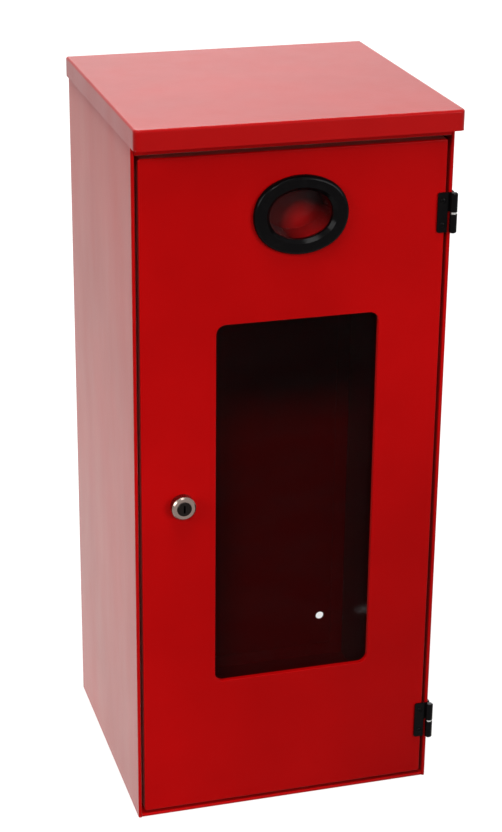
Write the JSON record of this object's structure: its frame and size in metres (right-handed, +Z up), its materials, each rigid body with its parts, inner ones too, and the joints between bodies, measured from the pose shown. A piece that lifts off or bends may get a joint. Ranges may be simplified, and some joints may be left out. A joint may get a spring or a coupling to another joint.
{
  "type": "fire extinguisher cabinet",
  "caption": "Upright red sheet-steel fire extinguisher cabinet with an overhanging cover, a hinged door with a long window, a small oval key window and a cam lock.",
  "frame": {"origin": "middle of the base, on the floor", "axes": "+Z up, +Y towards the back, +X to the right as seen from the front; the door is on -Y"},
  "size_m": [0.3052, 0.291, 0.7],
  "materials": {
    "red_paint": "semi-gloss powder coat",
    "black_coat": "glossy black",
    "chrome": "polished",
    "zinc_steel": "zinc plated",
    "clear_glass": "clear",
    "black_rubber": "matte",
    "dark_steel": "blackened",
    "red_plastic": "glossy red"
  },
  "bodies": {
    "cabinet": {"left_wall": "red_paint", "right_wall": "red_paint", "back_panel": "red_paint", "bottom_panel": "red_paint", "top_cover": "red_paint", "top_rail": "red_paint", "left_stop": "red_paint", "right_stop": "red_paint", "bottom_stop": "red_paint", "door_buffers": "black_rubber", "upper_hinge_case_leaf": "black_coat", "upper_hinge_pin": "zinc_steel", "lower_hinge_case_leaf": "black_coat", "lower_hinge_pin": "zinc_steel"},
    "door": {"door_panel": "red_paint", "window_pane": "clear_glass", "pane_clips": "zinc_steel", "key_bezel": "black_coat", "key_glass": "clear_glass", "key_cup": "red_plastic", "upper_hinge_door_leaf": "black_coat", "lower_hinge_door_leaf": "black_coat", "lock_housing": "chrome", "lock_nut": "zinc_steel"},
    "lock": {"lock_plug": "dark_steel", "lock_cam": "zinc_steel", "cam_nut": "zinc_steel"}
  },
  "joints": [
    {"name": "door_hinge", "type": "hinge", "parent": "cabinet", "child": "door", "pos_m": [0.1502, -0.139, 0.3375], "axis": [0, 0, 1], "range_deg": [0, 170]},
    {"name": "lock_turn", "type": "hinge", "parent": "door", "child": "lock", "pos_m": [-0.1051, -0.135, 0.33445], "axis": [0, 1, 0], "range_deg": [0, 90]}
  ]
}
